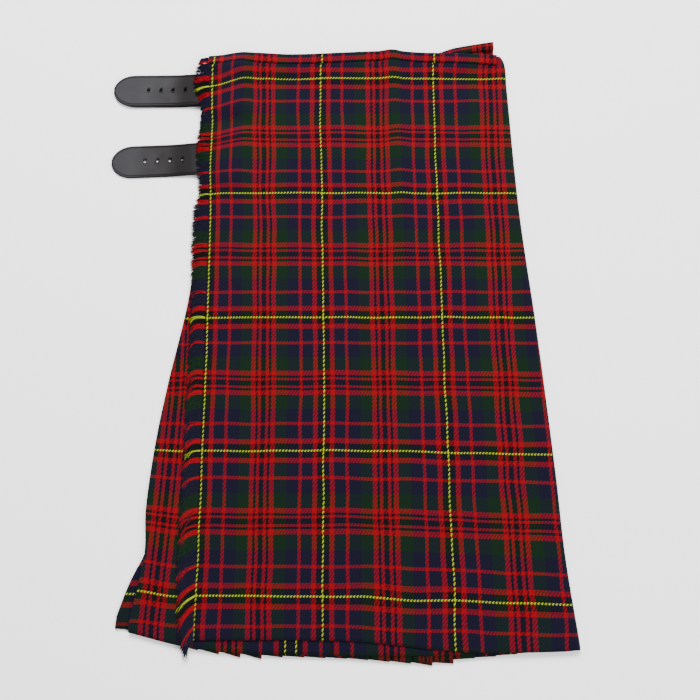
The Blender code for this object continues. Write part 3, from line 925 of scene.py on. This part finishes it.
def leather(name):
    """Satin dark leather with a fine grain, a painted highlight at its tip, a creased line darkened with
    painted shade inside its edge and a dark rim.
    """
    nodes = Nodes(name)
    inward, past_highlight = nodes.map_parts("leather")
    place = nodes.add("ShaderNodeTexCoord").outputs["Object"]
    cloudy = nodes.noise(place, CLOUD_NOISE, CLOUD_DETAIL)
    grain = nodes.noise(place, GRAIN_NOISE)
    # Painted highlight: the tip is painted lighter, fading to the leather's own dark colour further along
    along = nodes.math("ADD", past_highlight, nodes.math("MULTIPLY", cloudy, CLOUDS_MOVE))
    dark = nodes.math("DIVIDE", nodes.math("SUBTRACT", along, CLOUDS_MOVE / 2), DARKENS_OVER)
    colour = nodes.ramp(dark, [(0.0, linear(LEATHER_PAINTED_HIGHLIGHT)), (1.0, linear(LEATHER_DARK))])
    # The crease is a groove in the bump, and its darker colour is painted shade in that groove
    off_crease = nodes.math("ABSOLUTE", nodes.math("SUBTRACT", inward, CREASE_IN))
    crease = near(nodes, off_crease, CREASE_WIDTH)
    colour = nodes.mix(nodes.math("MULTIPLY", crease, CREASE_SHADE_SHARE), colour, linear(CREASE_SHADE_COLOUR))
    rim = near(nodes, inward, RIM_WIDTH)
    colour = nodes.mix(nodes.math("MULTIPLY", rim, RIM_SHARE), colour, linear(RIM_COLOUR))
    nodes.join(colour, nodes.shader.inputs["Base Color"])
    height = nodes.math("SUBTRACT", nodes.math("MULTIPLY", grain, GRAIN_HEIGHT), crease)
    nodes.bump(height, LEATHER_BUMP, LEATHER_RELIEF)
    rough = nodes.math("ADD", nodes.math("MULTIPLY", cloudy, LEATHER_ROUGHER), LEATHER_SMOOTHEST)
    nodes.join(rough, nodes.shader.inputs["Roughness"])
    nodes.shader.inputs["Specular IOR Level"].default_value = LEATHER_SPECULAR
    return nodes.material


def plain(name, colour, roughness):
    nodes = Nodes(name)
    nodes.shader.inputs["Base Color"].default_value = (*linear(colour), 1.0)
    nodes.shader.inputs["Roughness"].default_value = roughness
    return nodes.material


# Over apron

ACROSS_STEPS = 110
DOWN_STEPS = 170
ROLL_STEPS = 12
UNDERSIDE_STEPS = 3
ROLL_END_IN = 0.2


def right_seam(y):
    return follow(RIGHT_FOLD, y) - between(SEAM_FROM_RIGHT, SEAM_AT_WAIST, grown(y, SEAM_RISE))


def over_apron_row(down):
    y_left, y_right = side_ys(APRON_TOP, APRON_HEM, OVER_ENDS, down)
    left = follow(FREE_EDGE, y_left)
    right = follow(RIGHT_FOLD, y_right) - CLOTH / 2 - ROLL_WIDTH
    row = []
    for x in spread(left, right, ACROSS_STEPS):
        y = panel_y(APRON_TOP, APRON_HEM, x, down)
        row.append(Point(Vector((x, y, over_z(x, y))), *over_cloth(x, y)))
    x, y = right, row[-1].place.y
    top, bottom = row[-1].place.z, pleat_z(0, x, y)
    places = []
    for step in range(1, ROLL_STEPS + 1):
        turn = math.pi * step / (ROLL_STEPS + 1)
        z = between(bottom, top, 0.5 + 0.5 * math.cos(turn))
        places.append(Vector((x + ROLL_WIDTH * math.sin(turn), y, z)))
    for place in spread(x - ROLL_END_IN, right_seam(y), UNDERSIDE_STEPS):
        places.append(Vector((place, y, bottom)))
    return run_on(row, places, WARP_RUNS[1].sett)


def over_apron(material):
    rows = [over_apron_row(down) for down in spread(0, 1, DOWN_STEPS)]
    return cloth_wall("cloth_over_apron", rows, material)


# Under apron

# Points across each stretch of stripes, and how narrow the face is where one stretch meets the next
UNDER_STEPS = 18
STRIPE_JUMP = 0.1
UNDER_LEG_STEPS = 12
UNDER_DOWN_STEPS = 130
NOSE_TURNS = (60, 20, -20, -60)


def under_top_y(x):
    below_back = follow(BACK_TOP, min(x, UNDER_TURN)) - UNDER_BELOW_BACK
    if x < UNDER_TURN:
        return below_back
    return min(below_back, follow(APRON_TOP, x) - UNDER_BELOW_APRON)


def under_apron_row(down):
    ends = UNDER_ENDS
    y_left = between(under_top_y(ends.left_top), follow(UNDER_HEM, ends.left_hem), down)
    y_right = between(under_top_y(ends.right_top), follow(UNDER_HEM, ends.right_hem), down)
    fold = follow(LEFT_FOLD, y_left)
    stop = follow(RIGHT_FOLD, y_right) - UNDER_STOPS

    def at(x):
        return between(under_top_y(x), follow(UNDER_HEM, x), down)

    row = []
    cuts = [fold + LEG_START, fold + LEFT_ZONE, *(stripe.up_to for stripe in HEM_STRIPES[:-1]), stop]
    across_places = []
    for a, b in zip(cuts, cuts[1:]):
        across_places += spread(a, b - STRIPE_JUMP, UNDER_STEPS)
    for x in reversed(across_places):
        place = Vector((x, at(x), under_z(x, at(x))))
        row.append(Point(place, *under_cloth(x, at(x))))
    lower = []
    for x in spread(fold + LEG_START, fold + SEAM_FROM_LEFT, UNDER_LEG_STEPS):
        lower.append(Vector((x, at(x), pleat_z(TOP_OF_PLEATS, x, at(x)))))
    above, below = row[-1].place.z, lower[0].z
    places = []
    for turn in NOSE_TURNS:
        z = between(below, above, 0.5 + 0.5 * math.sin(math.radians(turn)))
        nose = fold + NOSE_CENTRE - NOSE_RADIUS * math.cos(math.radians(turn))
        places.append(Vector((nose, at(fold), z)))
    return run_on(row, places + lower, -WARP_RUNS[1].sett)


def under_apron(material):
    rows = [under_apron_row(down) for down in spread(0, 1, UNDER_DOWN_STEPS)]
    return cloth_wall("cloth_under_apron", rows, material)


# Pleated back

# The points of a fold's turn: how far out they are and how far up, as shares
FOLD_TURN = ((0.0, 0.0), (0.75, 0.15), (1.0, 0.5), (0.75, 0.85), (0.0, 1.0))
SPLAY_STEPS = 8
# Rows down the back, close together where it comes down from its band
BACK_ROWS = (0, 0.007, 0.0135, 0.0165, 0.0195, 0.04, *spread(0.08, 1.0, 50))


def back_row(down):
    y_left, y_right = side_ys(BACK_TOP, BACK_HEM, BACK_ENDS, down)
    fold = follow(LEFT_FOLD, y_left)
    splay = splay_x(y_left)
    inner = fold + INNER_FOLD_FROM_LEFT
    right = follow(RIGHT_FOLD, y_right)
    zone = right - SEAM_FROM_RIGHT - LAST_STRIP - inner
    pitch = zone / PLEATS
    depth = pitch - PLEAT_MARGIN
    row = []

    def add(x, level, drop=0.0):
        y = panel_y(BACK_TOP, BACK_HEM, x, down) - drop * down
        row.append(Point(Vector((x, y, pleat_z(level, x, y))), *back_cloth(x, y)))

    def turn(x, side, first, last, drop=0.0):
        """The points of a fold whose nose is at x, from one level to the next."""
        for out, share in FOLD_TURN:
            add(x - side * FOLD_NOSE * (1 - out), between(first, last, share), drop)

    add(fold + SEAM_FROM_LEFT + GAP, 2)
    add(fold + LEFT_ZONE, 2)
    turn(inner, 1, 2, 1)
    inside = spread(inner - FOLD_NOSE, splay + CLOTH / 2 + FOLD_NOSE, SPLAY_STEPS)[1:-1]
    for x in inside:
        add(x, 1)
    turn(splay + CLOTH / 2, -1, 1, 0)
    for x in reversed(inside):
        add(x, 0)
    for index in range(PLEATS):
        edge = inner + pitch * (index + 1) - PLEAT_EDGE_IN
        drop = PLEAT_DROPS[index]
        turn(edge, 1, 0, 1, drop)
        turn(edge - depth, -1, 1, 2)
        add(edge + RISER_START, 2)
        add(edge + RISER_END, 0)
    add(right_seam(y_right) - GAP, 0)
    return row


def pleated_back(material):
    rows = [back_row(down) for down in BACK_ROWS]
    return cloth_wall("cloth_pleated_back", rows, material)


# Waistbands

# How far each band's legs reach down, and how far below the edge they meet its turn
FRONT_LEG = 10.0
BACK_LEG = 8.0
LEG_TOP_IN = 0.6
BAND_LEG_STEPS = 5
BAND_TURN_STEPS = 9
BACK_BAND_STEPS = 90
# How far the back's band stops inside the folds
BACK_BAND_IN_LEFT = 5.5
BACK_BAND_IN_RIGHT = 6.3
# The height of the waist, at its free edge, its left fold and its right one
WAIST_FREE_Y = 320
WAIST_LEFT_Y = 317
WAIST_RIGHT_Y = 321
# The front band's outer leg lies closer by a share, from so far below the edge
BAND_THINNER = 0.62
BAND_THINS = Zone(5, 5)


def band_section(x, top, leg, upper, lower, cloth):
    """The band's middle line round a top edge: up its outer leg, over the edge, down its inner."""
    middle = (upper(x, top) + lower(x, top)) / 2
    rise = (upper(x, top) - lower(x, top)) / 2
    leg_top = top - LEG_TOP_IN
    places = [Vector((x, y, upper(x, y))) for y in spread(top - leg, leg_top, BAND_LEG_STEPS)]
    for turn in spread(90, -90, BAND_TURN_STEPS):
        along = LAYER * math.cos(math.radians(turn))
        up = rise * math.sin(math.radians(turn))
        places.append(Vector((x, top + along, middle + up)))
    places += [Vector((x, y, lower(x, y))) for y in spread(leg_top, top - leg, BAND_LEG_STEPS)]
    across, along = cloth(x, top - leg)
    row = []
    before = places[0]
    for place in places:
        along -= (place - before).length / SETT_ALONG
        row.append(Point(place, across, along))
        before = place
    return row


def band_thinning(x, y):
    """The band's outer leg lies closer to the apron at its lower edge, which is pressed flat."""
    return 1 - BAND_THINNER * grown(follow(APRON_TOP, x) - y, BAND_THINS)


def waistband_front(material):
    left = follow(FREE_EDGE, WAIST_FREE_Y)
    right = follow(RIGHT_FOLD, WAIST_RIGHT_Y) - CLOTH / 2 - ROLL_WIDTH

    def upper(x, y):
        return over_z(x, y) + LAYER * band_thinning(x, y)

    def lower(x, y):
        return over_z(x, y) - LAYER

    xs = spread(left, right, ACROSS_STEPS)
    rows = [band_section(x, follow(APRON_TOP, x), FRONT_LEG, upper, lower, front_band_cloth) for x in xs]
    return cloth_wall("cloth_waistband_front", rows, material)


def waistband_back(material):
    left = follow(LEFT_FOLD, WAIST_LEFT_Y) + BACK_BAND_IN_LEFT
    right = RIGHT_FOLD[0].x - BACK_BAND_IN_RIGHT

    def upper(x, y):
        return pleat_z(TOP_OF_PLEATS, x, y) + LAYER

    def lower(x, y):
        return CLOTH / 2

    xs = spread(left, right, BACK_BAND_STEPS)
    rows = [band_section(x, follow(BACK_TOP, x), BACK_LEG, upper, lower, back_band_cloth) for x in xs]
    return cloth_wall("cloth_waistband_back", rows, material)


# Straps

STRAP_EDGE = 0.75
CORNER_ANGLES = (0.0, 0.52, 1.05, 1.57)
# Where the points across a strap's face are, in from its edge: three in millimetres, round its crease,
# and two as shares of its half width. No half ring has fewer points than this
FACE_PLACES = (2.0, 2.2, 2.8)
FACE_SHARES = (0.4, 0.8)
HALF_RING = 9
TIP_STEPS = 16
STRAP_STEPS = 70
HOLE_SIDES = 28


def strap_half_width(strap, x):
    share = min((x - strap.tip_x + STRAP_TIP_BLUNT) / STRAP_TIP, 1.0)
    return strap.width / 2 * math.sqrt(1 - (1 - share) ** 2)


def strap_ring(strap, x):
    """Points round a strap at one place along it, with its corners rounded, and how far in each is."""
    half = strap_half_width(strap, x)
    slope = (strap_half_width(strap, x + 0.2) - half) / 0.2
    inward = 1 / math.sqrt(1 + slope * slope)
    z = strap_z(strap, x)
    thick = strap.thickness / 2
    edge = min(STRAP_EDGE, thick * 0.9, half * 0.5)
    top = []
    for angle in CORNER_ANGLES:
        top.append((half - edge * (1 - math.cos(angle)), thick - edge + edge * math.sin(angle)))
    for place in (*FACE_PLACES, *(half * share for share in FACE_SHARES)):
        if place < half * 0.97:
            top.append((half - place, thick))
    while len(top) < HALF_RING:
        top.append((top[-1][0] * 0.7, thick))
    ring = [(w, h) for w, h in top] + [(-w, h) for w, h in reversed(top)]
    ring += [(-w, -h) for w, h in top] + [(w, -h) for w, h in reversed(top)]
    points = []
    for w, h in ring:
        points.append((Vector((x, strap_y(strap, x) + w, z + h)), max(half - abs(w), 0.0) * inward))
    return points


def strap_xs(strap):
    tip = [strap.tip_x + STRAP_TIP * (i / TIP_STEPS) ** 2 for i in range(TIP_STEPS)]
    return tip + spread(strap.tip_x + STRAP_TIP, STRAP_HIDDEN_END, STRAP_STEPS)


def strap_body(strap, material):
    bm = bmesh.new()
    uv = bm.loops.layers.uv.new("leather")
    where = {}
    rings = []
    for x in strap_xs(strap):
        ring = []
        for place, inward in strap_ring(strap, x):
            vertex = bm.verts.new(place)
            # The second coordinate is centimetres past the painted highlight at the tip
            where[vertex] = (inward, (x - strap.tip_x - strap.worn) / 10)
            ring.append(vertex)
        rings.append(ring)
    close_tube(bm, rings)
    set_uvs(bm, uv, where)
    return finish_mesh(f"leather_{strap.name}", bm, material)


def punch(strap, piece):
    """Cuts the row of buckle holes through a strap."""
    bm = bmesh.new()
    for index in range(HOLES):
        x = STRAPS[1].tip_x + FIRST_HOLE + index * HOLE_PITCH
        y = strap_y(STRAPS[1] if "upper" in strap.name else strap, x)
        added = bmesh.ops.create_cone(
            bm, cap_ends=True, segments=HOLE_SIDES, radius1=HOLE_RADIUS, radius2=HOLE_RADIUS, depth=40
        )
        for vertex in added["verts"]:
            vertex.co += Vector((x, y, 0))
    cutter = finish_mesh("hole_cutter", bm, piece.data.materials[0])
    cut = piece.modifiers.new("holes", "BOOLEAN")
    cut.operation = "DIFFERENCE"
    cut.solver = "EXACT"
    cut.object = cutter
    bpy.context.view_layer.update()
    shown = piece.evaluated_get(bpy.context.evaluated_depsgraph_get())
    mesh = bpy.data.meshes.new_from_object(shown)
    piece.modifiers.clear()
    piece.data = mesh
    bpy.data.objects.remove(cutter, do_unlink=True)


def strap_piece(strap, material):
    piece = strap_body(strap, material)
    punch(strap, piece)
    return piece


# Fringe

THREAD_PITCH = 0.62
THREAD_LENGTH = 17.0
THREAD_RADIUS = 0.42
THREAD_END = 0.45
THREAD_SIDES = (90, 210, 330)
THREAD_STEPS = 6
THREAD_LAYERS = 3
# How wide a lock of threads is, and how far threads differ in length, in how they gather towards their
# lock's middle, in their direction, in degrees, and in their way, in millimetres
LOCK_WIDTHS = (3.5, 8.5)
LENGTHS = (0.78, 1.12)
GATHERS = (0.15, 0.5)
ROOT_TURN = 6
TIP_TURN = 14
STRAY = 0.18
STRAY_HEIGHTS = (-0.15, 0.25)
# How far a thread sinks from its root to its tip, and how high the layers of threads lie
THREAD_FALL = 3.2
ROOT_LAYER = 0.25
TIP_LAYER = 0.3
THREAD_ROOM = 0.45


def support_z(x, y):
    """The top of whatever lies below the fringe at a place."""
    fold = follow(LEFT_FOLD, y)
    cloth = under_z(x, y) + CLOTH / 2 if x > fold else 0.0
    height = max(cloth * smooth((x - fold + 3) / 4), 0.0)
    for strap in STRAPS:
        if abs(y - strap_y(strap, x)) < strap.width / 2:
            height = max(height, strap_z(strap, x) + strap.thickness / 2)
    return height


def add_thread(bm, uv, path, along):
    """One round thread of three sides along a path, all in one colour."""
    rings = []
    for k, place in enumerate(path):
        ahead = path[min(k + 1, len(path) - 1)] - path[max(k - 1, 0)]
        side = ahead.cross(Vector((0, 0, 1))).normalized()
        up = side.cross(ahead).normalized()
        size = THREAD_RADIUS * (1.0 if k + 1 < len(path) else THREAD_END)
        ring = []
        for turn in THREAD_SIDES:
            a = math.radians(turn)
            ring.append(bm.verts.new(place + (side * math.cos(a) + up * math.sin(a)) * size))
        rings.append(ring)
    for face in close_tube(bm, rings):
        for loop in face.loops:
            loop[uv].uv = (0.0, along)


def lock_marks(top, hem):
    """Where along the edge the threads part into locks, unevenly spaced."""
    marks = [top + 2]
    while marks[-1] > hem - 4:
        marks.append(marks[-1] - random.uniform(*LOCK_WIDTHS))
    return marks


def thread_path(y, layer, marks):
    x = follow(FREE_EDGE, y) + 0.4
    above, below = next((m, n) for m, n in zip(marks, marks[1:]) if n <= y <= m)
    middle = (above + below) / 2
    length = THREAD_LENGTH * follow(FRINGE_LENGTH, y) * random.uniform(*LENGTHS)
    gather = (middle - y) * random.uniform(*GATHERS)
    root = follow([(lean.y, lean.root) for lean in FRINGE_LEANS], y) + random.uniform(-ROOT_TURN, ROOT_TURN)
    tip = follow([(lean.y, lean.tip) for lean in FRINGE_LEANS], y) + random.uniform(-TIP_TURN, TIP_TURN)
    z = over_z(x, y) + ROOT_LAYER * (1 - layer)
    path = [Vector((x, y, z))]
    step = length / THREAD_STEPS
    for k in range(1, THREAD_STEPS + 1):
        t = k / THREAD_STEPS
        angle = math.radians(between(root, tip, t * t))
        place = path[-1] + Vector((-step * math.cos(angle), -step * math.sin(angle), 0))
        place.y += gather / THREAD_STEPS
        place.y += random.uniform(-STRAY, STRAY)
        under = THREAD_ROOM + TIP_LAYER * (THREAD_LAYERS - 1 - layer)
        lowest = support_z(place.x, place.y) + under
        place.z = max(lowest, z - THREAD_FALL * t * t + random.uniform(*STRAY_HEIGHTS))
        path.append(place)
    return path


def apron_fringe(material):
    bm = bmesh.new()
    uv = bm.loops.layers.uv.new("cloth")
    top = follow(APRON_TOP, OVER_ENDS.left_top) - 0.5
    hem = follow(APRON_HEM, OVER_ENDS.left_hem) + 0.5
    marks = lock_marks(top, hem)
    count = int((top - hem) / THREAD_PITCH)
    for layer in range(THREAD_LAYERS):
        for index in range(count):
            y = top - THREAD_PITCH * (index + 0.5 * layer)
            along = over_cloth(follow(FREE_EDGE, y), y)[1]
            add_thread(bm, uv, thread_path(y, layer, marks), along)
    return finish_mesh("cloth_apron_fringe", bm, material)


# Camera, light and floor

CAMERA = Vector((0.0, -245.8, 929.6))
AIM = Vector((0.0, 0.0, 0.0))
LENS = 50.0


def set_camera():
    data = bpy.data.cameras.new("camera")
    data.lens = LENS
    data.sensor_width = 36.0
    camera = bpy.data.objects.new("camera", data)
    bpy.context.scene.collection.objects.link(camera)
    camera.location = to_frame(CAMERA)
    camera.rotation_euler = (to_frame(AIM) - to_frame(CAMERA)).to_track_quat("-Z", "Y").to_euler()
    bpy.context.scene.camera = camera


def area_light(name, place, size, power):
    data = bpy.data.lights.new(name, "AREA")
    data.shape = "DISK"
    data.size = size
    data.energy = power
    light = bpy.data.objects.new(name, data)
    bpy.context.scene.collection.objects.link(light)
    light.location = place
    light.rotation_euler = (-Vector(place)).to_track_quat("-Z", "Y").to_euler()


def set_light():
    world = bpy.data.worlds.new("studio")
    world.use_nodes = True
    world.node_tree.nodes["Background"].inputs[0].default_value = (1.0, 1.0, 1.0, 1.0)
    world.node_tree.nodes["Background"].inputs[1].default_value = 0.75
    bpy.context.scene.world = world
    area_light("key", (-0.15, 1.2, 1.7), 1.2, 110.0)
    area_light("fill", (1.5, -0.9, 1.7), 1.6, 60.0)


def add_floor():
    bm = bmesh.new()
    bmesh.ops.create_grid(bm, x_segments=1, y_segments=1, size=6000)
    floor = finish_mesh("floor", bm, plain("floor_paper", (243, 243, 243), 0.95))
    floor.location.z = -SHIFT.z * MM


# The whole kilt

wool = tartan("tartan_twill")
frayed = frayed_wool("frayed_wool")
hide = leather("strap_leather_skin")

over = over_apron(wool)
under = under_apron(wool)
back = pleated_back(wool)
band_front = waistband_front(wool)
band_back = waistband_back(wool)
fringe = apron_fringe(frayed)
straps = {strap.name: strap_piece(strap, hide) for strap in STRAPS}

STANDS_FOR = (
    (over, "over_apron", "tartan"),
    (fringe, "apron_fringe", "tartan"),
    (under, "under_apron", "back_tartan"),
    (back, "pleated_back", "back_tartan"),
    (band_front, "waistband_front", "band_tartan"),
    (band_back, "waistband_back", "band_tartan"),
    (straps["strap_upper"], "strap_upper", "strap_leather"),
    (straps["strap_upper_backing"], "strap_upper_backing", "strap_leather"),
    (straps["strap_lower"], "strap_lower", "strap_leather"),
)
for piece, node, slot in STANDS_FOR:
    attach(piece, "root")
    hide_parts(node)

add_floor()
set_light()
set_camera()
